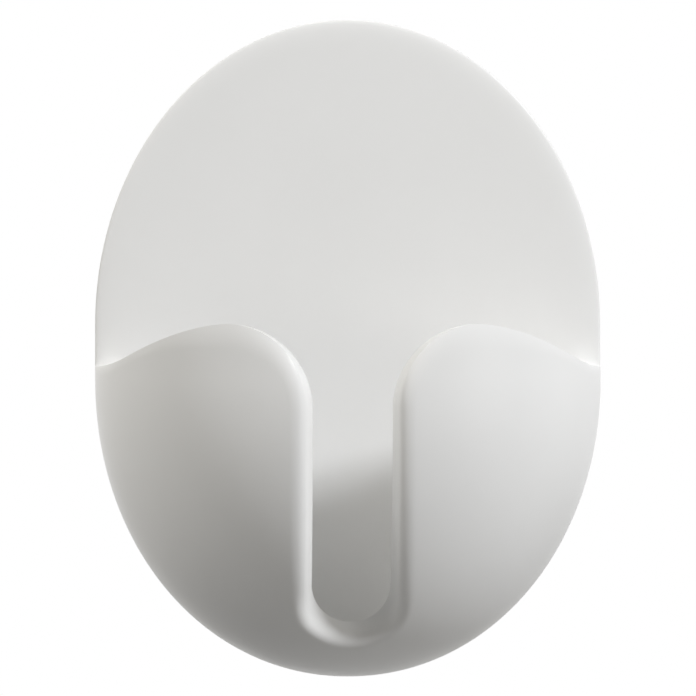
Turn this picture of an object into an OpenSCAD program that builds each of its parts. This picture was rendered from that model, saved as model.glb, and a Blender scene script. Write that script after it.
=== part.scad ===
// Self-adhesive cable and plug clip: an oval plate with a domed pouch moulded
// on its lower half, slotted for a cable, held to a wall by a foam adhesive pad.
// Millimetres. X is to the right, Z is up and the front faces -Y. The origin is
// the middle of the rear face, where the clip meets the wall.

/* [Oval plate] */
// Full width of the oval plate
plate_w = 46.2; // [42:0.1:54]
// Rise of the upper half above the straight flanks
crown_rise = 27.8; // [24:0.1:36]
// Length of the straight flank on each side
flank_h = 4.9; // [4.5:0.1:9]
// Drop of the lower half below the straight flanks
foot_drop = 27.3; // [25:0.1:36]
// Squareness of the lower half, where 2 is an ellipse
foot_power = 2.05; // [2:0.05:2.5]
// Thickness of the plate
plate_t = 2.6; // [2.5:0.1:4]
// Width of the shallow roll round the plate's front
edge_w = 2.2; // [1:0.1:2.2]
// Fall of that roll from the plate's front to its edge
edge_drop = 0.25; // [0.1:0.05:0.8]

/* [Pouch] */
// Depth of the domed pouch in front of the plate's back face
pouch_depth = 21; // [16:0.1:25]
// Thickness of the pouch's wall
wall_t = 2.4; // [2.3:0.1:3.2]
// Distance of each lobe's peak from the centre line
lobe_x = 11; // [9.5:0.1:13]
// Fall of the rim from a lobe's peak to the plate's edge
rim_drop = 4.8; // [3.5:0.1:5.5]
// How that fall grows along the rim, where 2 is a parabola
rim_power = 1.75; // [1.6:0.05:2.2]

/* [Cable slot] */
// Width of the cable slot at its inner edge
slot_w = 7; // [5:0.1:9]
// Height of the slot's round floor above the plate's lowest point
slot_floor = 5.5; // [4.5:0.1:9]
// Lean of the slot's sides, which widens it towards the front
side_lean = 0.85; // [0.2:0.05:1.2]
// Lean of the slot's round floor
floor_lean = 1.9; // [0.4:0.05:2]

/* [Soft edges] */
// Width of the roll where the rim runs out at the plate's edge
end_roll_w = 0.4; // [0.2:0.05:0.8]
// Width of the roll over the rim at a lobe's peak
rim_roll_w = 2.2; // [0.8:0.1:2.4]
// Fall of that roll to the rim's crisp edge
rim_roll_d = 0.2; // [0.1:0.05:0.5]
// Width of the roll down the sides of the slot
slot_roll_w = 1.25; // [0.6:0.05:1.6]
// Depth of the roll down the sides of the slot
slot_roll_d = 0.85; // [0.3:0.05:1.2]
// Width and depth of the roll over the slot's floor
floor_roll = 0.7; // [0.4:0.05:1]

/* [Adhesive pad] */
// Margin of the pad inside the plate's outline
pad_inset = 3.2; // [2.8:0.1:6]
// Thickness of the foam
foam_t = 1; // [0.6:0.1:2]
// Thickness of each film of adhesive
glue_t = 0.1; // [0.08:0.01:0.2]

/* [Release liner] */
// Thickness of the liner
liner_t = 0.12; // [0.08:0.01:0.2]
// Width of the liner's lift tab
tab_w = 9; // [6:0.1:10]
// Reach of the lift tab past the pad
tab_reach = 2.2; // [1.5:0.1:2.4]
// Corner radius of the lift tab
tab_r = 1.2; // [0.5:0.1:1.4]

/* [Hidden] */

// Facets: along the crown, across the plate's edge, and along the rim, the
// corners, the sides and the floor of the slot
crown_n = 56;
edge_n = 6;
rim_n = 12;
corner_n = 12;
side_n = 9;
floor_n = 10;
// Facets across the dome, the roll of its edge and the inside of the pocket
dome_n = 16;
roll_n = 6;
inner_n = 12;
// Facets on each half of a flat pad's outline, and round a corner of the lift tab
pad_n = 60;
tab_n = 48;

// Outline: half-ellipse on top, straight flanks, superellipse below
half_w = plate_w / 2;
plate_h = crown_rise + flank_h + foot_drop;
crown_z = plate_h / 2 - crown_rise;
foot_z = crown_z - flank_h;
low_z = -plate_h / 2;

// Layers behind the plate, from the wall forwards
wall_glue_y = liner_t;
foam_y = wall_glue_y + glue_t;
front_glue_y = foam_y + foam_t;
plate_y = front_glue_y + glue_t;

// Depths in front of the plate's back face: the square land of its edge, and
// the rise of the dome and of the hollow inside it above that land
land_d = plate_t - edge_drop;
dome_h = pouch_depth - land_d;
hollow_h = dome_h - wall_t;
hollow_x = half_w - wall_t;
hollow_z = foot_drop - wall_t;

// Rim of each lobe: a power curve from the plate's edge to the peak and an arc from
// the peak into the slot, both level at the peak
lobe_z = foot_z + rim_drop;
rim_run = half_w - lobe_x;
slot_r = slot_w / 2;
corner_r = lobe_x - slot_r;
floor_z = low_z + slot_floor;

// Share of the hollow's outline that is left where it meets the plate's front,
// and where the rim crosses that line
hollow_share = sqrt(1 - pow(edge_drop / hollow_h, 2));
pocket_x = hollow_share * hollow_x;

function mix(a, b, t) = a + (b - a) * t;
function smooth(t) = t * t * (3 - 2 * t);
function bend(t, p) = sign(t) * pow(abs(t), 2 / p);
function mirrored(row) = [for (q = row) [-q[0], q[1], q[2]]];
function turned(list) = [for (i = [len(list) - 1 : -1 : 0]) list[i]];

// Upper and lower half of the outline, drawn in by an inset
function crown_at(t, inset) =
    [(half_w - inset) * cos(t), crown_z + (crown_rise - inset) * sin(t)];
function foot_at(t, inset) =
    [(half_w - inset) * bend(cos(t), foot_power),
     foot_z - (foot_drop - inset) * bend(sin(t), foot_power)];

// Oval that is 1 on a half-width and a drop, and 0 on the middle line
function oval(x, z, across, down) =
    pow(pow(abs(x) / across, foot_power)
        + pow(max(0, foot_z - z) / down, foot_power), 1 / foot_power);
function arch(q) = sqrt(max(0, 1 - q * q));

// Depth of the dome's outside and of the hollow's face at a point of the front view
function dome_at(x, z) = land_d + dome_h * arch(oval(x, z, half_w, foot_drop));
function hollow_at(x, z) = land_d + hollow_h * arch(oval(x, z, hollow_x, hollow_z));

// Slope of the dome's depth along a direction m of the front view
function dome_slope(x, z, m) =
    let (q = oval(x, z, half_w, foot_drop),
         k = dome_h * pow(q, 2 - foot_power) / arch(q),
         sx = -k * sign(x) * pow(abs(x) / half_w, foot_power - 1) / half_w,
         sz = k * pow(max(0, foot_z - z) / foot_drop, foot_power - 1) / foot_drop)
    sx * m[0] + sz * m[1];

// Inset and depth of the roll round the plate's front at one of its steps
function edge_inset(k) = edge_w * pow(k / edge_n, 2);
function edge_depth(k) = plate_t - edge_drop * pow(1 - k / edge_n, 2);

// Free edge of the pouch, right half, from the plate's edge to the slot's floor.
// Each station is [x, z, direction towards the opening].
function rim_station(x) =
    let (t = (x - lobe_x) / rim_run,
         m = [rim_drop * rim_power / rim_run * pow(t, rim_power - 1), 1])
    [x, lobe_z - rim_drop * pow(t, rim_power), m / norm(m)];
function corner_station(a) =
    [lobe_x + corner_r * cos(a), lobe_z - corner_r + corner_r * sin(a), [cos(a), sin(a)]];
function side_station(t) =
    [slot_r, mix(lobe_z - corner_r, floor_z + slot_r, t), [-1, 0]];
function floor_station(a) =
    [slot_r * cos(a), floor_z + slot_r + slot_r * sin(a), [-cos(a), -sin(a)]];

stations = [
    rim_station(half_w),
    for (k = [1 : edge_n]) rim_station(half_w - edge_inset(k)),
    for (k = [0 : rim_n]) rim_station(mix(pocket_x, lobe_x, k / rim_n)),
    for (k = [1 : corner_n]) corner_station(90 + 90 * k / corner_n),
    for (k = [1 : side_n]) side_station(k / side_n),
    for (k = [1 : floor_n]) floor_station(-90 * k / floor_n)
];
pocket_i = edge_n + 1;
peak_i = pocket_i + rim_n;
side_i = peak_i + corner_n;
foot_i = side_i + side_n;
floor_i = foot_i + floor_n / 2;
last_i = len(stations) - 1;

// Length of the free edge up to each station
function step(i) = norm([stations[i][0] - stations[i - 1][0], stations[i][1] - stations[i - 1][1]]);
run = [for (i = 0, s = 0; i <= last_i; i = i + 1, s = s + (i <= last_i ? step(i) : 0)) s];

// Fall of the roll at the rim's end, as a share of its width there
end_fall = 0.15;
// Lean of the cut through the wall, and width and depth of the roll over its edge, at
// the rim's end, the peak, the slot's top, the foot of its sides and its floor
stops = [0, peak_i, side_i, foot_i, floor_i];
lean = [0, 0, side_lean, side_lean, floor_lean];
roll_w = [end_roll_w, rim_roll_w, slot_roll_w, slot_roll_w, floor_roll];
roll_d = [end_fall * end_roll_w, rim_roll_d, slot_roll_d, slot_roll_d, floor_roll];
// How far the roll turns into the cut, where 0.5 leaves a crisp edge and 1 none
roll_turn = [0.5, 0.5, 1, 1, 1];
// Share of the wall that the roll may take
roll_share = 0.9;

// One of these values at a station, by smooth steps between the places
function along(i, values) =
    let (k = len([for (s = stops) if (s <= i) s]) - 1,
         a = run[stops[k]])
    k == len(stops) - 1 ? values[k]
    : mix(values[k], values[k + 1], smooth((run[i] - a) / (run[stops[k + 1]] - a)));

// Place on the outline that a station's profile starts from. The floor's profiles fan
// out more than the sides' do.
side_fan = 0.7;
floor_fan = 2.5;
function fan_run(i) =
    run[i] + (side_fan - 1) * max(0, min(run[i], run[foot_i]) - run[side_i])
    + (floor_fan - 1) * max(0, run[i] - run[foot_i]);
function fan_foot(i) = foot_at(90 * fan_run(i) / fan_run(last_i), 0);

// Depth where the cut through the wall ends: on the plate's edge, or at the hollow
function cut_depth(i) =
    i <= edge_n ? edge_depth(i)
    : i == pocket_i ? plate_t
    : hollow_at(stations[i][0], stations[i][1]);

// One profile across the wall at a station: over the dome from the plate's edge to the
// lip, a quadratic roll whose middle point lies on the dome's slope, at the leaning cut
// where it turns into that, and straight back through the wall
function outer_profile(i) =
    let (e = stations[i],
         m = e[2],
         cut = cut_depth(i),
         w = min(along(i, roll_w), roll_share * (dome_at(e[0], e[1]) - cut)),
         front = [e[0], e[1]] - m * along(i, lean),
         lip = front - m * w,
         lip_d = dome_at(lip[0], lip[1]),
         crest_d = lip_d + w * dome_slope(lip[0], lip[1], m),
         tall = crest_d - cut,
         d = min(along(i, roll_d), roll_share * tall),
         lip_p = [lip[0], lip_d, lip[1]],
         crest = [front[0], crest_d, front[1]],
         back = [e[0], cut, e[1]],
         turn = mix(lip_p, crest, along(i, roll_turn)),
         roll_end = mix(crest, back, d / tall),
         foot = fan_foot(i))
    [[foot[0], land_d, foot[1]],
     for (j = [1 : dome_n])
         let (f = 1 - cos(90 * j / dome_n),
              x = mix(foot[0], lip[0], f),
              z = mix(foot[1], lip[1], f))
         [x, dome_at(x, z), z],
     for (j = [1 : roll_n])
         let (t = j / roll_n)
         mix(mix(lip_p, turn, t), mix(turn, roll_end, t), t),
     back];

// One profile down the inside of the pocket, from the cut to the plate's front
flank_run = rim_station(pocket_x)[1] - foot_z;
hollow_run = flank_run + PI / 4 * (pocket_x + hollow_share * hollow_z);
function hollow_foot(s) =
    s < flank_run ? [pocket_x, foot_z + flank_run - s]
    : let (t = 90 * (s - flank_run) / (hollow_run - flank_run))
      [pocket_x * bend(cos(t), foot_power),
       foot_z - hollow_share * hollow_z * bend(sin(t), foot_power)];
function inner_profile(i) =
    let (e = stations[i],
         foot = hollow_foot(hollow_run * (run[i] - run[pocket_i]) / (run[last_i] - run[pocket_i])))
    [for (j = [1 : inner_n - 1])
         let (f = sin(90 * j / inner_n),
              x = mix(e[0], foot[0], f),
              z = mix(e[1], foot[1], f))
         [x, hollow_at(x, z), z],
     [foot[0], plate_t, foot[1]]];

// Points of the moulding as [x, depth, z]. The right half of the pouch is mirrored,
// and a profile of no size closes each end of the rim.
rim_end = [half_w, land_d, foot_z];
far_i = 2 * last_i;
outer_rows = dome_n + roll_n + 2;
outer_half = [for (i = [1 : last_i]) outer_profile(i)];
outer_points = [
    rim_end,
    for (row = outer_half) each row,
    for (i = [last_i - 2 : -1 : 0]) each mirrored(outer_half[i]),
    each mirrored([rim_end])
];
inner_half = [for (i = [pocket_i + 1 : last_i]) inner_profile(i)];
inner_last = len(inner_half) - 1;
inner_points = [
    for (row = inner_half) each row,
    for (i = [inner_last - 1 : -1 : 0]) each mirrored(inner_half[i])
];
crown_points = [
    for (c = [0 : crown_n])
        for (k = [0 : edge_n])
            let (q = crown_at(180 * c / crown_n, edge_inset(k)))
            [q[0], edge_depth(k), q[1]]
];
inner_from = len(outer_points);
crown_from = inner_from + len(inner_points);
back_from = crown_from + len(crown_points);

// Number of a point, where neighbouring skins share the points of their border
function outer_id(i, j) =
    i == 0 ? 0 : i == far_i ? inner_from - 1 : 1 + (i - 1) * outer_rows + j;
function inner_id(i, j) =
    j == 0 || i == pocket_i || i == far_i - pocket_i ? outer_id(i, outer_rows - 1)
    : inner_from + (i - pocket_i - 1) * inner_n + j - 1;
function crown_id(c, k) = crown_from + c * (edge_n + 1) + k;
function end_id(i, k) = k == 0 ? outer_id(i, 0) : outer_id(abs(i - k), outer_rows - 1);
function back_id(i) = back_from + i;
function back_crown_id(c) = back_id(far_i + 1 + crown_n - c);

// The skins of the moulding, as rows of point numbers
outer_skin = [for (i = [0 : far_i]) [for (j = [0 : outer_rows - 1]) outer_id(i, j)]];
inner_skin = [for (i = [pocket_i : far_i - pocket_i]) [for (j = [0 : inner_n]) inner_id(i, j)]];
edge_skin = [
    [for (k = [0 : edge_n]) end_id(0, k)],
    for (c = [0 : crown_n]) [for (k = [0 : edge_n]) crown_id(c, k)],
    [for (k = [0 : edge_n]) end_id(far_i, k)]
];
front_ring = [
    for (i = [0 : far_i]) outer_id(i, 0),
    for (c = [crown_n : -1 : 0]) crown_id(c, 0)
];
back_ring = [for (i = [0 : len(front_ring) - 1]) back_id(i)];

// The flat faces, as strips between their right and left borders from top to bottom
top_c = crown_n / 2;
plate_front = [
    [for (c = [top_c : -1 : 0]) crown_id(c, edge_n),
     for (i = [pocket_i : last_i]) inner_id(i, inner_n)],
    [for (c = [top_c : crown_n]) crown_id(c, edge_n),
     for (i = [pocket_i : last_i]) inner_id(far_i - i, inner_n)]
];
plate_back = [
    [for (c = [top_c : -1 : 0]) back_crown_id(c), for (i = [0 : last_i]) back_id(i)],
    [for (c = [top_c : crown_n]) back_crown_id(c), for (i = [0 : last_i]) back_id(far_i - i)]
];
rim_corners = [
    [crown_id(0, edge_n), end_id(0, edge_n), inner_id(pocket_i, 0)],
    [inner_id(far_i - pocket_i, 0), end_id(far_i, edge_n), crown_id(crown_n, edge_n)]
];
face_points = concat(outer_points, inner_points, crown_points);
body_points = concat(face_points, [for (i = front_ring) [face_points[i][0], 0, face_points[i][2]]]);

// Triangles between rows of points, without those that have no size
function sized(a, b, c) = a != b && b != c && c != a;
function skin(rows, closed = false) =
    let (n = len(rows[0]))
    [for (i = [0 : len(rows) - 2])
        for (j = [0 : n - (closed ? 1 : 2)])
            let (a = rows[i][j], b = rows[i][(j + 1) % n],
                 c = rows[i + 1][j], d = rows[i + 1][(j + 1) % n])
            each [if (sized(a, b, d)) [a, b, d], if (sized(a, d, c)) [a, d, c]]];
function reversed(faces) = [for (f = faces) turned(f)];

// Lowest edge of the lift tab, and how far its strip runs up into the liner's oval
tab_low = low_z + pad_inset - tab_reach;
tab_lap = foot_drop / 4;

// Flat oval of the pad, drawn in from the plate's outline
module pad_outline() {
    polygon([
        for (j = [0 : pad_n]) crown_at(180 * j / pad_n, pad_inset),
        for (j = [0 : pad_n])
            let (q = foot_at(90 - abs(90 - 180 * j / pad_n), pad_inset))
            [j < pad_n / 2 ? -q[0] : q[0], q[1]]
    ]);
}

// Flat sheet of an outline, from its rear face forwards
module sheet(rear_y, thickness) {
    translate([0, -rear_y, 0]) rotate([90, 0, 0]) linear_extrude(thickness) children();
}

// White moulding: plate and pouch in one piece
module clip_body() {
    color("whitesmoke") translate([0, -plate_y, 0]) polyhedron(
        [for (q = body_points) [q[0], -q[1], q[2]]],
        concat(
            reversed(skin(outer_skin)),
            reversed(skin(inner_skin)),
            skin(edge_skin),
            skin([back_ring, front_ring], true),
            skin(plate_front),
            reversed(skin(plate_back)),
            rim_corners
        )
    );
}

// Film that holds the foam to the plate
module front_adhesive() {
    color("lightgoldenrodyellow") sheet(front_glue_y, glue_t) pad_outline();
}

// Closed-cell foam of the pad
module foam_pad() {
    color("white") sheet(foam_y, foam_t) pad_outline();
}

// Film that holds the foam to the wall
module wall_adhesive() {
    color("lightgoldenrodyellow") sheet(wall_glue_y, glue_t) pad_outline();
}

// Paper that covers the wall side until the clip is put up, with a lift tab
module release_liner() {
    color("wheat") sheet(0, liner_t) union() {
        pad_outline();
        translate([-tab_w / 2, tab_low + tab_r]) square([tab_w, tab_reach + tab_lap]);
        translate([-tab_w / 2 + tab_r, tab_low]) square([tab_w - 2 * tab_r, 2 * tab_r]);
        for (side = [-1, 1])
            translate([side * (tab_w / 2 - tab_r), tab_low + tab_r]) circle(tab_r, $fn = tab_n);
    }
}

clip_body();
front_adhesive();
foam_pad();
wall_adhesive();
release_liner();
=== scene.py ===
# Oval adhesive cable clip: a white moulding on a foam pad, with its films and liner
import math

import bmesh
import bpy
import numpy as np
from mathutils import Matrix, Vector


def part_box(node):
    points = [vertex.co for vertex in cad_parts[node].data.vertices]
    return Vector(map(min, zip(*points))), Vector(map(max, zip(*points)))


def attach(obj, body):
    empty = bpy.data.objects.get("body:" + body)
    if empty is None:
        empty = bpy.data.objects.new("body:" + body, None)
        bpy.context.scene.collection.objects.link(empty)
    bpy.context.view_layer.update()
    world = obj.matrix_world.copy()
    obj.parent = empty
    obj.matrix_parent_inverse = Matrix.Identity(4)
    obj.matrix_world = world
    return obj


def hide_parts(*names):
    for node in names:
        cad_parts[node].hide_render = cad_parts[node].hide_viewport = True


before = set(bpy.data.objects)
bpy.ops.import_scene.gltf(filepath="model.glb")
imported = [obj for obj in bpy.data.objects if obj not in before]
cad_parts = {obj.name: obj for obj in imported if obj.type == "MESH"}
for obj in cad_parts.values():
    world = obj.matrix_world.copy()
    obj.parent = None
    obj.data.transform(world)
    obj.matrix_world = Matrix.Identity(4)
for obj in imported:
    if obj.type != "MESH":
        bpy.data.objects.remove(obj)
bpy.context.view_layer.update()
mm = 0.001
quarter = math.pi / 2
mirror = np.array([-1.0, 1.0, 1.0])
depthAxis = np.array([0.0, 1.0, 0.0])
mergeWithin = 0.002   # millimetres between points that become one
sliverBelow = 0.001   # and length of an edge that goes
print("frame loaded:", ", ".join(sorted(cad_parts)))


# Cells of a grid of points: each point, its neighbour and the two beside them in
# the next row
def gridCells(rows, cols):
    row, col = np.meshgrid(np.arange(rows - 1), np.arange(cols - 1), indexing="ij")
    corner = row * cols + col
    return np.stack([corner, corner + 1, corner + cols + 1, corner + cols], axis=-1).reshape(-1, 4)


# Grids of points in millimetres become one closed skin: the borders that they share
# are merged, cells of no size go and the faces are turned outwards
def closedSkin(name, grids, sharpFrom):
    cells, used = [], 0
    for grid in grids:
        cells.append(gridCells(*grid.shape[:2]) + used)
        used += grid.shape[0] * grid.shape[1]
    points = np.concatenate([grid.reshape(-1, 3) for grid in grids]) * mm
    mesh = bpy.data.meshes.new(name)
    mesh.from_pydata(points, [], np.concatenate(cells))
    skin = bmesh.new()
    skin.from_mesh(mesh)
    bmesh.ops.remove_doubles(skin, verts=skin.verts, dist=mergeWithin * mm)
    bmesh.ops.dissolve_degenerate(skin, edges=skin.edges, dist=sliverBelow * mm)
    bmesh.ops.recalc_face_normals(skin, faces=skin.faces)
    skin.to_mesh(mesh)
    skin.free()
    mesh.shade_smooth()
    mesh.set_sharp_from_angle(angle=math.radians(sharpFrom))
    piece = bpy.data.objects.new(name, mesh)
    bpy.context.scene.collection.objects.link(piece)
    print(name, "has", len(mesh.polygons), "faces")
    return piece


# The same points on the other side of the middle plane, in the opposite order
def mirroredBack(points):
    return points[::-1] * mirror


# Right-hand rows of points and their mirror images, joined at the middle plane
def bothSides(rightRows):
    return np.concatenate([rightRows, mirroredBack(rightRows)[1:]])


# A flat face as a strip between its right-hand border and the mirror image of it
def flatStrip(border):
    return np.stack([border, border * mirror], axis=1)


# Points [x, depth, z] in front of a rear face, where y falls as the depth grows
def inFront(rearY, points):
    placed = np.array(points)
    placed[..., 1] = rearY - placed[..., 1]
    return placed


# Points [x, z] of the front view with a depth put between, as [x, depth, z]
def atDepth(line, depth):
    return np.stack([line[..., 0], np.broadcast_to(depth, line.shape[:-1]), line[..., 1]], axis=-1)


# Quadratic curve by t: the squares of what is left and gone weigh its ends, and twice
# their product its middle point
def quadratic(start, middle, end, t):
    return (1 - t) ** 2 * start + 2 * t * (1 - t) * middle + t ** 2 * end


# Length of a quarter of an oval, near enough: a quarter of pi times the sum of its reaches
def quarterRun(across, down):
    return math.pi / 4 * (across + down)


# Smooth step from 0 to 1: three squares less two cubes
def smoothStep(t):
    return t * t * (3 - 2 * t)


# Corners of a node's box in millimetres
def boxOf(node):
    return [np.array(corner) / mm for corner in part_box(node)]


# White moulding, in millimetres
clip = {
    "crownRise": 27.8,    # upper half of the outline, a half-ellipse
    "flank": 4.9,         # straight flank between the halves
    "footPower": 2.05,    # squareness of the lower half, where 2 is an ellipse
    "plateThick": 2.6,
    "edgeWidth": 2.2,     # width and fall of the shallow roll round the plate's front
    "edgeDrop": 0.25,
    "backRound": 0.2,     # broken edge round the back
    "pouchDepth": 21.0,   # dome in front of the plate's back
    "domePower": 0.5,     # fullness of the dome, where 0.5 is an ellipse and 1 a parabola
    "wall": 2.4,
    "lobeX": 11.0,        # peak of each lobe from the middle
    "rimDrop": 4.8,       # fall of the rim from a peak to the plate's edge
    "rimPower": 1.75,     # how that fall grows along the rim, where 2 is a parabola
    "rimLevel": 3.0,      # run before the plate's edge in which the rim levels out
    "slotWidth": 7.0,
    "slotFloor": 5.5,     # round floor of the slot above the lowest point
    # Along the free edge, at the rim's end, the pocket's corner, the lobe's peak, the
    # slot's top, the foot of its sides and its floor: lean of the cut, width and depth of
    # the roll over it, and how far the roll turns into the cut, where 0.5 leaves a crisp
    # edge and 1 none
    "lean": (0.0, 0.0, 0.0, 0.85, 0.85, 1.9),
    "rollWidth": (1.4, 0.6, 2.2, 1.25, 1.25, 0.7),
    "rollDepth": (1.0, 0.1, 0.2, 0.65, 0.65, 0.65),
    "rollTurn": (1.0, 0.5, 0.5, 0.8, 0.8, 0.95),
    "rollRoom": 0.9,      # share of the wall that the roll may take
    "sideShare": 0.7,     # share of the outline that the slot's sides and floor fan out to
    "floorShare": 2.5,
    "innerRound": 0.25,   # small round where the cut meets the hollow
    "innerShare": 0.35,   # share of the hollow's depth there that it may take
    "flatRing": 0.15,     # first ring of a flat face, which keeps its shading flat
    "sharpFrom": 32,      # degrees between faces from which an edge is shaded sharp
}
# Steps of its grids along each stretch
clipSteps = {"crown": 180, "edge": 14, "rim": 60, "corner": 44, "side": 40, "floor": 36,
             "dome": 46, "soft": 10, "cut": 3, "lip": 4, "inside": 24, "back": 4}

lowCorner, highCorner = boxOf("clip_body")
halfWidth = highCorner[0]
plateBackY = highCorner[1]
crownZ = highCorner[2] - clip["crownRise"]
footZ = crownZ - clip["flank"]
footDrop = footZ - lowCorner[2]
footPower = clip["footPower"]
plateThick = clip["plateThick"]
landDepth = plateThick - clip["edgeDrop"]
domeRise = clip["pouchDepth"] - landDepth
hollowRise = domeRise - clip["wall"]
hollowX = halfWidth - clip["wall"]
hollowZ = footDrop - clip["wall"]
domePower = clip["domePower"]
hollowShare = math.sqrt(1 - ((plateThick - landDepth) / hollowRise) ** (1 / domePower))
pocketX = hollowShare * hollowX


# Upper outline: half an ellipse, drawn in by an inset
def crownLine(angle, inset):
    return np.stack([(halfWidth - inset) * np.cos(angle),
                     crownZ + (clip["crownRise"] - inset) * np.sin(angle)], axis=-1)


# Lower outline: a superellipse, cosine and sine each raised to two over its power
def footLine(angle, across, down):
    power = 2 / footPower
    return np.stack([across * np.abs(np.cos(angle)) ** power,
                     footZ - down * np.abs(np.sin(angle)) ** power], axis=-1)


# Share of the way out to an oval: the power mean of the shares across and down
def ovalShare(x, z, across, down):
    below = np.maximum(0, footZ - z) / down
    return ((np.abs(x) / across) ** footPower + below ** footPower) ** (1 / footPower)


# Depth of a dome over that oval above the plate's land: one less the share's square, to
# the dome's power
def archDepth(x, z, across, down, rise):
    share = ovalShare(x, z, across, down)
    return landDepth + rise * np.maximum(0, 1 - share ** 2) ** domePower


# The arch over the whole lower outline is the outside of the pouch
def domeDepth(x, z):
    return archDepth(x, z, halfWidth, footDrop, domeRise)


# The arch a wall inside it is the hollow
def hollowDepth(x, z):
    return archDepth(x, z, hollowX, hollowZ, hollowRise)


# Slope of the dome along a direction in the front view: the slopes of the arch across
# and down, each times its share of that direction
def domeSlope(x, z, along):
    share = ovalShare(x, z, halfWidth, footDrop)
    steep = 2 * domePower * domeRise * share ** (2 - footPower) * (1 - share ** 2) ** (domePower - 1)
    across = -steep * np.sign(x) * (np.abs(x) / halfWidth) ** (footPower - 1) / halfWidth
    up = steep * (np.maximum(0, footZ - z) / footDrop) ** (footPower - 1) / footDrop
    return across * along[:, 0] + up * along[:, 1]


# Free edge of the pouch, right half: a power curve from the plate's edge to the lobe's
# peak, levelled at its end by a parabola, an arc into the slot, the slot's straight side
# and its round floor. Each point has the direction towards the opening.
def freeEdge():
    lobeX, slotR = clip["lobeX"], clip["slotWidth"] / 2
    lobeZ = footZ + clip["rimDrop"]
    reach = halfWidth - lobeX
    cornerR = lobeX - slotR
    floorZ = lowCorner[2] + clip["slotFloor"] + slotR
    endX = halfWidth - edgeInset(np.arange(clipSteps["edge"] + 1))
    rimX = np.concatenate([endX, np.linspace(pocketX, lobeX, clipSteps["rim"] + 1)])
    along, power = (rimX - lobeX) / reach, clip["rimPower"]
    endSlope = clip["rimDrop"] * power / reach
    level = np.maximum(0, 1 - (halfWidth - rimX) / clip["rimLevel"])
    lift = endSlope * clip["rimLevel"] / 2 * level ** 2
    rim = np.stack([rimX, lobeZ - clip["rimDrop"] * along ** power + lift], axis=-1)
    slope = endSlope * (along ** (power - 1) - level)
    rimOut = np.stack([slope, np.ones_like(slope)], axis=-1) / np.sqrt(1 + slope ** 2)[:, None]
    turn = np.linspace(quarter, 2 * quarter, clipSteps["corner"] + 1)[1:]
    cornerOut = np.stack([np.cos(turn), np.sin(turn)], axis=-1)
    corner = np.array([lobeX, lobeZ - cornerR]) + cornerR * cornerOut
    sideZ = np.linspace(lobeZ - cornerR, floorZ, clipSteps["side"] + 1)[1:]
    side = np.stack([np.full_like(sideZ, slotR), sideZ], axis=-1)
    sideOut = np.tile([-1.0, 0.0], (len(sideZ), 1))
    turn = np.linspace(0, -quarter, clipSteps["floor"] + 1)[1:]
    bottomOut = -np.stack([np.cos(turn), np.sin(turn)], axis=-1)
    bottom = np.array([0, floorZ]) - slotR * bottomOut
    line = np.concatenate([rim, corner, side, bottom])
    return line, np.concatenate([rimOut, cornerOut, sideOut, bottomOut])


# Quadratic roll round the plate's front, inset and depth at each of its steps: the inset
# grows as the step's square, and the depth falls short as the square of what is left
def edgeInset(step):
    return clip["edgeWidth"] * (step / clipSteps["edge"]) ** 2


def edgeDepth(step):
    return plateThick - clip["edgeDrop"] * (1 - step / clipSteps["edge"]) ** 2


edgeLine, edgeOut = freeEdge()
edgeX, edgeZ = edgeLine.T
pocketAt = clipSteps["edge"] + 1
peakAt = pocketAt + clipSteps["rim"]
sideAt = peakAt + clipSteps["corner"]
footAt = sideAt + clipSteps["side"]
floorAt = footAt + clipSteps["floor"] // 2
edgeRun = np.concatenate([[0], np.cumsum(np.linalg.norm(np.diff(edgeLine, axis=0), axis=1))])
sideRun = np.clip(edgeRun - edgeRun[sideAt], 0, edgeRun[footAt] - edgeRun[sideAt])
floorRun = np.maximum(0, edgeRun - edgeRun[footAt])
fanRun = edgeRun + (clip["sideShare"] - 1) * sideRun + (clip["floorShare"] - 1) * floorRun
cutDepth = hollowDepth(edgeX, edgeZ)
cutDepth[:pocketAt] = edgeDepth(np.arange(pocketAt))
cutDepth[pocketAt] = plateThick


# A value along the free edge: smooth steps between the ones given at its six places,
# the last of which is half-way round the slot's floor
def alongEdge(values):
    stops = edgeRun[[0, pocketAt, peakAt, sideAt, footAt, floorAt]]
    part = np.clip(np.searchsorted(stops, edgeRun, side="right") - 1, 0, len(stops) - 2)
    t = smoothStep(np.clip((edgeRun - stops[part]) / (stops[part + 1] - stops[part]), 0, 1))
    values = np.array(values)
    return values[part] + (values[part + 1] - values[part]) * t


# Lip where the roll over the free edge starts: behind the edge by the cut's lean and by
# the roll's width, which the wall limits
rollWidth = np.minimum(alongEdge(clip["rollWidth"]),
                       clip["rollRoom"] * (domeDepth(edgeX, edgeZ) - cutDepth))
cutFront = edgeLine - edgeOut * alongEdge(clip["lean"])[:, None]
lipLine = cutFront - edgeOut * rollWidth[:, None]

# Run down the outline to each profile's foot: past the roll at the rim's end, then in step
# with the free edge
flankRun = edgeZ[0] - footZ
outlineRun = flankRun + quarterRun(halfWidth, footDrop)
rollFall = np.maximum.accumulate(edgeZ[0] - lipLine[:peakAt, 1])
pastRoll = np.append(rollFall, np.full(len(edgeLine) - peakAt, rollFall[-1]))
outlineGone = pastRoll + (outlineRun - pastRoll[-1]) * fanRun / fanRun[-1]
footAngle = quarter * np.clip((outlineGone - flankRun) / (outlineRun - flankRun), 0, 1)


# Outline below the rim's end, drawn in by an inset: down the flank, then a superellipse
def pouchLine(inset):
    line = footLine(footAngle, halfWidth - inset, footDrop - inset)
    line[:, 1] += np.maximum(0, flankRun - outlineGone)
    return line


# Small round between the cut and the hollow, none where the hollow runs out
innerRound = np.clip(clip["innerShare"] * (cutDepth - plateThick), 0, clip["innerRound"])
innerRound[:pocketAt + 1] = 0


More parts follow.
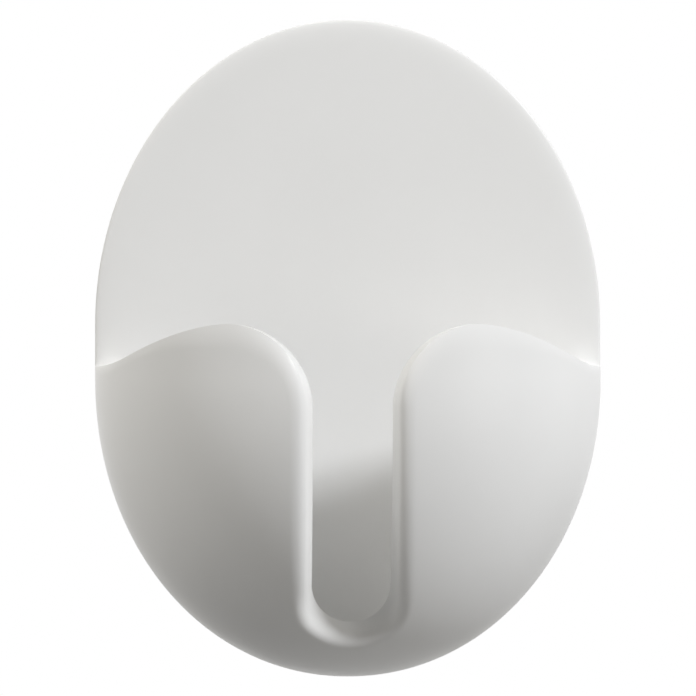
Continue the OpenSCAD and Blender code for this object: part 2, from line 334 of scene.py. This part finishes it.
# Outside of the pouch, one profile at each point of the free edge: over the dome from
# the outline to the lip, a quadratic roll whose middle point lies on the dome's slope, at
# the leaning cut where it turns into that, and straight back through the wall
def outerSkin():
    line, front, lip = edgeLine[1:], cutFront[1:], lipLine[1:]
    lipDepth = domeDepth(*lip.T)
    crestDepth = lipDepth + domeSlope(*lip.T, edgeOut[1:]) * rollWidth[1:]
    crest = atDepth(front, crestDepth)
    cutEnd = atDepth(line, (cutDepth + innerRound)[1:])
    tall = crestDepth - cutEnd[:, 1]
    depth = np.minimum(alongEdge(clip["rollDepth"])[1:], clip["rollRoom"] * tall)
    rollEnd = crest + (cutEnd - crest) * (depth / tall)[:, None]
    lipPoint = atDepth(lip, lipDepth)
    turn = lipPoint + (crest - lipPoint) * alongEdge(clip["rollTurn"])[1:, None]
    share = (1 - np.cos(np.linspace(0, quarter, clipSteps["dome"] + 1)))[None, :, None]
    foot = pouchLine(0)[1:, None, :]
    flat = foot + (lip[:, None] - foot) * share
    dome = atDepth(flat, domeDepth(flat[..., 0], flat[..., 1]))
    dome[:, 0, 1] = landDepth
    t = np.linspace(0, 1, clipSteps["soft"] + 1)[None, 1:, None]
    roll = quadratic(lipPoint[:, None], turn[:, None], rollEnd[:, None], t)
    back = np.linspace(0, 1, clipSteps["cut"] + 1)[None, 1:, None]
    wall = rollEnd[:, None] + (cutEnd - rollEnd)[:, None] * back
    profiles = np.concatenate([dome, roll, wall], axis=1)
    rimEnd = np.tile([halfWidth, landDepth, edgeZ[0]], (1, profiles.shape[1], 1))
    return np.concatenate([rimEnd, profiles])


# Foot of the hollow on the plate: down the flank, then a superellipse, by length
def hollowFoot(share):
    fallRun = edgeZ[pocketAt] - footZ
    wholeRun = fallRun + quarterRun(pocketX, hollowShare * hollowZ)
    gone = share * wholeRun
    angle = quarter * np.clip((gone - fallRun) / (wholeRun - fallRun), 0, 1)
    foot = footLine(angle, pocketX, hollowShare * hollowZ)
    foot[:, 1] += np.maximum(0, fallRun - gone)
    return foot


# Inside of the pocket, one profile at each point of the free edge: a small quadratic
# round off the cut, then down the hollow's face to the plate
def innerSkin():
    start = edgeLine[pocketAt:]
    run = edgeRun[pocketAt:]
    foot = hollowFoot((run - run[0]) / (run[-1] - run[0]))
    small = innerRound[pocketAt:, None]
    away = np.linalg.norm(foot - start, axis=1, keepdims=True)
    begin = np.divide(small, away, out=np.zeros_like(small), where=away > 0)
    share = begin + (1 - begin) * np.sin(np.linspace(0, quarter, clipSteps["inside"] + 1))
    flat = start[:, None] + (foot - start)[:, None] * share[..., None]
    face = atDepth(flat, hollowDepth(flat[..., 0], flat[..., 1]))
    face[:, -1, 1] = plateThick
    edge = atDepth(start, cutDepth[pocketAt:])[:, None]
    ahead = edge + depthAxis * small[:, None]
    t = np.linspace(0, 1, clipSteps["lip"] + 1)[None, :-1, None]
    lip = quadratic(ahead, edge, face[:, :1], t)
    return np.concatenate([lip, face], axis=1)


# Plate's rolled front edge: the quadratic roll carried over the crown, ended on each side
# by the line where the rim's cut meets it
def edgeSkin(outer):
    angle = np.linspace(0, 2 * quarter, clipSteps["crown"] + 1)[:, None]
    step = np.arange(clipSteps["edge"] + 2)
    inset, depth = edgeInset(step), edgeDepth(step)
    inset[-1] = clip["edgeWidth"] + clip["flatRing"]
    depth[-1] = plateThick
    crown = atDepth(crownLine(angle, inset), depth)
    rightEnd = outer[:pocketAt + 1, -1][None]
    return np.concatenate([rightEnd, crown, rightEnd * mirror])


# One ring round the whole outline, drawn in by an inset: under the pouch and over the crown
def outlineRing(inset, depth):
    foot = bothSides(atDepth(pouchLine(inset), depth))
    angle = np.linspace(2 * quarter, 0, clipSteps["crown"] + 1)
    crown = atDepth(crownLine(angle, inset), depth)
    return np.concatenate([foot, crown, foot[:1]])


# Side of the plate as rings: its straight land, a quarter circle into the back and the
# back's first ring
def sideSkin():
    turn = np.linspace(0, quarter, clipSteps["back"] + 1)
    small = clip["backRound"]
    inset = np.concatenate([[0], small * (1 - np.cos(turn)), [small + clip["flatRing"]]])
    depth = np.concatenate([[landDepth], small * (1 - np.sin(turn)), [0]])
    return np.stack([outlineRing(*level) for level in zip(inset, depth)])


# The moulding: the pouch's outside and inside, the plate's edges and its two flat faces,
# on borders that they share
def makeClipBody():
    outer, inner = outerSkin(), innerSkin()
    edge, side = edgeSkin(outer), sideSkin()
    top = clipSteps["crown"] // 2
    frontBorder = np.concatenate([edge[top + 1:0:-1, -1], inner[:, -1]])
    stations = len(edgeLine)
    crownBack = side[-1, 2 * stations - 1:-1]
    backBorder = np.concatenate([crownBack[top:], side[-1, :stations]])
    grids = [bothSides(outer), bothSides(inner), edge, side]
    grids += [flatStrip(frontBorder), flatStrip(backBorder)]
    return closedSkin("clipBody", [inFront(plateBackY, grid) for grid in grids], clip["sharpFrom"])


# Foam pad: the CAD pad's outline with a die-cut edge, in millimetres
foam = {
    "inset": 3.2,         # margin inside the plate's outline
    "waist": 0.12,        # how far the cut edge draws in at half thickness
    "cellDepth": 0.05,    # cut cells along the edge
    "cellTurns": (97, 163, 241),
    "cellSlant": 2.1,     # how far their waves turn from front to back
    "rows": 10,
    "around": 450,        # steps over each half
    "sharpFrom": 40,
}


# Whole oval by its turn, from the right over the crown and back under the foot, with
# straight flanks between the two halves and the first point once more at the end
def ovalTurn(steps):
    over = np.linspace(0, 2 * quarter, steps + 1)
    overCrown = np.repeat([True, False, True], [steps + 1, steps + 1, 1])
    return np.concatenate([over, over + 2 * quarter, [0]]), overCrown


# Cut edge of the foam: the oval drawn in by a half-sine waist and by three waves along
# it that stand for the cut cells
def makeFoamPad():
    low, high = boxOf("foam_pad")
    across = np.linspace(0, 1, foam["rows"] + 1)[:, None]
    turn, overCrown = ovalTurn(foam["around"])
    waves = [np.sin(count * (turn + foam["cellSlant"] * across)) for count in foam["cellTurns"]]
    drawnIn = foam["waist"] + foam["cellDepth"] * sum(waves) / len(waves)
    inset = foam["inset"] + np.sin(math.pi * across) * drawnIn
    foot = footLine(turn, halfWidth - inset, footDrop - inset)
    foot[..., 0] *= np.sign(np.cos(turn))
    line = np.where(overCrown[:, None], crownLine(turn, inset), foot)
    edge = atDepth(line, low[1] + (high[1] - low[1]) * across)
    middle = depthAxis * edge[[0, -1]]
    return closedSkin("foamPad", [np.concatenate([middle[:1], edge, middle[1:]])], foam["sharpFrom"])


# Span that most of a noise's values lie in, over which the finishes vary
noiseSpan = (0.3, 0.7)


# Nodes that the materials share
def newMaterial(name):
    material = bpy.data.materials.new(name)
    material.use_nodes = True
    nodes = material.node_tree.nodes
    return material, nodes, material.node_tree.links, nodes["Principled BSDF"]


def noiseAt(nodes, links, scale, detail, stretch=(1, 1, 1)):
    place = nodes.new("ShaderNodeTexCoord")
    spread = nodes.new("ShaderNodeMapping")
    spread.inputs["Scale"].default_value = stretch
    noise = nodes.new("ShaderNodeTexNoise")
    noise.inputs["Scale"].default_value = scale
    noise.inputs["Detail"].default_value = detail
    links.new(place.outputs["Object"], spread.inputs["Vector"])
    links.new(spread.outputs["Vector"], noise.inputs["Vector"])
    return noise.outputs["Fac"]


def tintBy(nodes, links, value, dark, light, shader):
    ramp = nodes.new("ShaderNodeValToRGB")
    for stop, position, colour in zip(ramp.color_ramp.elements, noiseSpan, (dark, light)):
        stop.position = position
        stop.color = (*colour, 1)
    links.new(value, ramp.inputs["Fac"])
    links.new(ramp.outputs["Color"], shader.inputs["Base Color"])


def roughBy(nodes, links, value, low, high, shader):
    spread = nodes.new("ShaderNodeMapRange")
    spread.inputs["From Min"].default_value, spread.inputs["From Max"].default_value = noiseSpan
    spread.inputs["To Min"].default_value = low
    spread.inputs["To Max"].default_value = high
    links.new(value, spread.inputs["Value"])
    links.new(spread.outputs["Result"], shader.inputs["Roughness"])


def bumpBy(nodes, links, value, depth, strength, shader):
    bump = nodes.new("ShaderNodeBump")
    bump.inputs["Strength"].default_value = strength
    bump.inputs["Distance"].default_value = depth * mm
    links.new(value, bump.inputs["Height"])
    links.new(bump.outputs["Normal"], shader.inputs["Normal"])


# White moulded plastic: faint clouding, an uneven satin gloss and a fine mould grain
whitePlastic = {
    "light": (0.830, 0.830, 0.826),
    "dark": (0.815, 0.815, 0.810),
    "cloud": (90, 3),         # scale and detail of each noise
    "gloss": (260, 2),
    "grain": (5200, 1),
    "rough": (0.28, 0.34),
    "grainDepth": 0.02,       # millimetres
    "grainStrength": 0.12,
    "specular": 0.15,
}


def makeWhitePlastic():
    material, nodes, links, shader = newMaterial("whitePlastic")
    cloud = noiseAt(nodes, links, *whitePlastic["cloud"])
    tintBy(nodes, links, cloud, whitePlastic["dark"], whitePlastic["light"], shader)
    gloss = noiseAt(nodes, links, *whitePlastic["gloss"])
    roughBy(nodes, links, gloss, *whitePlastic["rough"], shader)
    grain = noiseAt(nodes, links, *whitePlastic["grain"])
    bumpBy(nodes, links, grain, whitePlastic["grainDepth"], whitePlastic["grainStrength"], shader)
    shader.inputs["Specular IOR Level"].default_value = whitePlastic["specular"]
    return material


# Closed-cell foam: white, dull, with small rounded cells, its colour darker in each cell's hollow as
# painted shade
whiteFoam = {
    "light": (0.86, 0.86, 0.84),
    "dark": (0.72, 0.72, 0.70),
    "cellScale": 3200,
    "cellDepth": 0.08,        # millimetres
    "cellStrength": 0.8,
    "rough": 0.9,
}


def makeWhiteFoam():
    material, nodes, links, shader = newMaterial("whiteFoam")
    place = nodes.new("ShaderNodeTexCoord")
    cells = nodes.new("ShaderNodeTexVoronoi")
    cells.inputs["Scale"].default_value = whiteFoam["cellScale"]
    links.new(place.outputs["Object"], cells.inputs["Vector"])
    cell = cells.outputs["Distance"]
    # Painted shade: the colour darkens towards each cell's middle, where the bump sinks
    tintBy(nodes, links, cell, whiteFoam["dark"], whiteFoam["light"], shader)
    bumpBy(nodes, links, cell, whiteFoam["cellDepth"], whiteFoam["cellStrength"], shader)
    shader.inputs["Roughness"].default_value = whiteFoam["rough"]
    return material


# Acrylic adhesive film: pale amber, glossy, with the slight ripple of a coated film
adhesive = {
    "light": (0.86, 0.82, 0.68),
    "dark": (0.80, 0.75, 0.58),
    "flow": (300, 3),         # scale and detail of each noise
    "ripple": (900, 1),
    "rippleDepth": 0.02,      # millimetres
    "rippleStrength": 0.4,
    "rough": (0.12, 0.24),
}


def makeAdhesive():
    material, nodes, links, shader = newMaterial("adhesiveFilm")
    flow = noiseAt(nodes, links, *adhesive["flow"])
    tintBy(nodes, links, flow, adhesive["dark"], adhesive["light"], shader)
    roughBy(nodes, links, flow, *adhesive["rough"], shader)
    ripple = noiseAt(nodes, links, *adhesive["ripple"])
    bumpBy(nodes, links, ripple, adhesive["rippleDepth"], adhesive["rippleStrength"], shader)
    return material


# Glazed release paper: tan, with fine fibres along the web and a calendered gloss
linerPaper = {
    "light": (0.70, 0.57, 0.38),
    "dark": (0.64, 0.51, 0.32),
    "fibre": (2400, 5),       # scale and detail of each noise
    "fibreStretch": (1, 1, 0.4),
    "fibreDepth": 0.012,      # millimetres
    "fibreStrength": 0.5,
    "gloss": (160, 2),
    "rough": (0.34, 0.50),
}


def makeLinerPaper():
    material, nodes, links, shader = newMaterial("linerPaper")
    fibre = noiseAt(nodes, links, *linerPaper["fibre"], linerPaper["fibreStretch"])
    tintBy(nodes, links, fibre, linerPaper["dark"], linerPaper["light"], shader)
    gloss = noiseAt(nodes, links, *linerPaper["gloss"])
    roughBy(nodes, links, gloss, *linerPaper["rough"], shader)
    bumpBy(nodes, links, fibre, linerPaper["fibreDepth"], linerPaper["fibreStrength"], shader)
    return material


def finishWith(piece, material):
    piece.data.materials.clear()
    piece.data.materials.append(material)


clipBody = makeClipBody()
finishWith(clipBody, makeWhitePlastic())
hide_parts("clip_body")
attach(clipBody, "clip")

foamPad = makeFoamPad()
finishWith(foamPad, makeWhiteFoam())
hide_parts("foam_pad")
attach(foamPad, "clip")

adhesiveFilm = makeAdhesive()
for film in ("front_adhesive", "wall_adhesive"):
    finishWith(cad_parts[film], adhesiveFilm)
finishWith(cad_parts["release_liner"], makeLinerPaper())
print("pieces and finishes made")


# Pale floor well below the clip, which hangs on a wall, in metres
floor = {
    "below": 0.15,
    "reach": 0.9,
    "shown": 0.4,             # share of the lamps' light, with its shadows, where it is seen
    "glow": 0.42,             # white of its own there
    "fade": (0.35, 0.88),     # distances between which it melts into the white ground
    "bounced": 0.24,          # colour that lights the clip
    "rough": 0.9,
}


# Share of rays that see the background: from the camera, and by gloss and glass
def seenRays(nodes, links):
    path = nodes.new("ShaderNodeLightPath")
    either = path.outputs["Is Camera Ray"]
    for other in ("Is Glossy Ray", "Is Transmission Ray"):
        most = nodes.new("ShaderNodeMath")
        most.operation = "MAXIMUM"
        links.new(either, most.inputs[0])
        links.new(path.outputs[other], most.inputs[1])
        either = most.outputs["Value"]
    return either


# Value that goes from near to far between the floor's fading distances
def farFrom(nodes, links, near, far):
    place = nodes.new("ShaderNodeTexCoord")
    length = nodes.new("ShaderNodeVectorMath")
    length.operation = "LENGTH"
    fade = nodes.new("ShaderNodeMapRange")
    fade.interpolation_type = "SMOOTHSTEP"
    fade.inputs["From Min"].default_value, fade.inputs["From Max"].default_value = floor["fade"]
    fade.inputs["To Min"].default_value = near
    fade.inputs["To Max"].default_value = far
    links.new(place.outputs["Object"], length.inputs[0])
    links.new(length.outputs["Value"], fade.inputs["Value"])
    return fade.outputs["Result"]


# One number where rays don't see the floor, and a value where they do
def blendBy(nodes, links, seen, unseen, value):
    mix = nodes.new("ShaderNodeMix")
    mix.data_type = "FLOAT"
    mix.inputs["A"].default_value = unseen
    links.new(seen, mix.inputs["Factor"])
    links.new(value, mix.inputs["B"])
    return mix.outputs["Result"]


def makeFloor():
    reach, z = floor["reach"], -floor["below"]
    mesh = bpy.data.meshes.new("floor")
    corners = [(-reach, -reach, z), (reach, -reach, z), (reach, reach, z), (-reach, reach, z)]
    mesh.from_pydata(corners, [], [(0, 1, 2, 3)])
    plane = bpy.data.objects.new("floor", mesh)
    bpy.context.scene.collection.objects.link(plane)
    material, nodes, links, shader = newMaterial("paleFloor")
    seen = seenRays(nodes, links)
    lit = blendBy(nodes, links, seen, floor["bounced"], farFrom(nodes, links, floor["shown"], 0))
    glow = blendBy(nodes, links, seen, 0, farFrom(nodes, links, floor["glow"], 1))
    links.new(lit, shader.inputs["Base Color"])
    links.new(glow, shader.inputs["Emission Strength"])
    shader.inputs["Emission Color"].default_value = (1, 1, 1, 1)
    shader.inputs["Roughness"].default_value = floor["rough"]
    shader.inputs["Specular IOR Level"].default_value = 0
    finishWith(plane, material)


# Studio light: a weak ambient world that is white where it is seen, a small key at the
# upper right that draws the slot's shadow, wide soft lamps at the left and low at the
# right, and a small lamp behind
studio = {
    "ambient": 0.17,
    "ambientTint": (1.0, 0.95, 0.86),
    "distance": 0.6,          # metres from the clip to each lamp
}
coolWhite, warmWhite = (0.96, 0.975, 1.0), (1.0, 0.985, 0.945)
lamps = {
    "key": {"azimuth": 51, "elevation": 35, "size": 0.11, "power": 2.8, "tint": coolWhite},
    "leftHigh": {"azimuth": -69, "elevation": 42, "size": 0.35, "power": 2.0, "tint": warmWhite},
    "leftEdge": {"azimuth": -95, "elevation": 20, "size": 0.3, "power": 0.4, "tint": warmWhite},
    "low": {"azimuth": 52, "elevation": -2, "size": 0.24, "power": 0.5, "tint": warmWhite},
    "back": {"azimuth": 180, "elevation": 12, "size": 0.1, "power": 2.0, "tint": warmWhite},
}


# Place at a distance from the clip: azimuth to the right of the front, elevation up
def fromFront(azimuth, elevation, distance):
    a, e = math.radians(azimuth), math.radians(elevation)
    return distance * Vector((math.sin(a) * math.cos(e), -math.cos(a) * math.cos(e), math.sin(e)))


def makeLamp(name, settings):
    lamp = bpy.data.lights.new(name, "AREA")
    lamp.shape = "DISK"
    lamp.size = settings["size"]
    lamp.energy = settings["power"]
    lamp.color = settings["tint"]
    holder = bpy.data.objects.new(name, lamp)
    holder.location = fromFront(settings["azimuth"], settings["elevation"], studio["distance"])
    holder.rotation_euler = (-holder.location).to_track_quat("-Z", "Y").to_euler()
    holder.visible_camera = False
    bpy.context.scene.collection.objects.link(holder)


def makeWorld():
    world = bpy.data.worlds.new("studio")
    bpy.context.scene.world = world
    world.use_nodes = True
    nodes, links = world.node_tree.nodes, world.node_tree.links
    nodes.clear()
    soft = nodes.new("ShaderNodeBackground")
    soft.inputs["Color"].default_value = (*studio["ambientTint"], 1)
    soft.inputs["Strength"].default_value = studio["ambient"]
    white = nodes.new("ShaderNodeBackground")
    white.inputs["Color"].default_value = (1, 1, 1, 1)
    white.inputs["Strength"].default_value = 1
    mix = nodes.new("ShaderNodeMixShader")
    out = nodes.new("ShaderNodeOutputWorld")
    links.new(seenRays(nodes, links), mix.inputs["Fac"])
    links.new(soft.outputs["Background"], mix.inputs[1])
    links.new(white.outputs["Background"], mix.inputs[2])
    links.new(mix.outputs["Shader"], out.inputs["Surface"])


# Camera in front of the clip, a little to its left, framed on the outline
shot = {
    "azimuth": -1.5,          # degrees
    "elevation": 0,
    "distance": 0.38,         # metres
    "frameWidth": 63.66,      # millimetres that the picture takes in at the outline
    "sensor": 36,
}


def makeCamera():
    lens = bpy.data.cameras.new("front")
    lens.sensor_width = shot["sensor"]
    lens.lens = shot["sensor"] * shot["distance"] / (shot["frameWidth"] * mm)
    camera = bpy.data.objects.new("front", lens)
    outline = Vector((0, (plateBackY - landDepth) * mm, 0))
    toCamera = fromFront(shot["azimuth"], shot["elevation"], shot["distance"])
    camera.location = outline + toCamera
    camera.rotation_euler = (-toCamera).to_track_quat("-Z", "Y").to_euler()
    bpy.context.scene.collection.objects.link(camera)
    bpy.context.scene.camera = camera


makeFloor()
makeWorld()
for lampName, settings in lamps.items():
    makeLamp(lampName, settings)
makeCamera()
bpy.context.scene.view_settings.view_transform = "Standard"
print("studio ready")
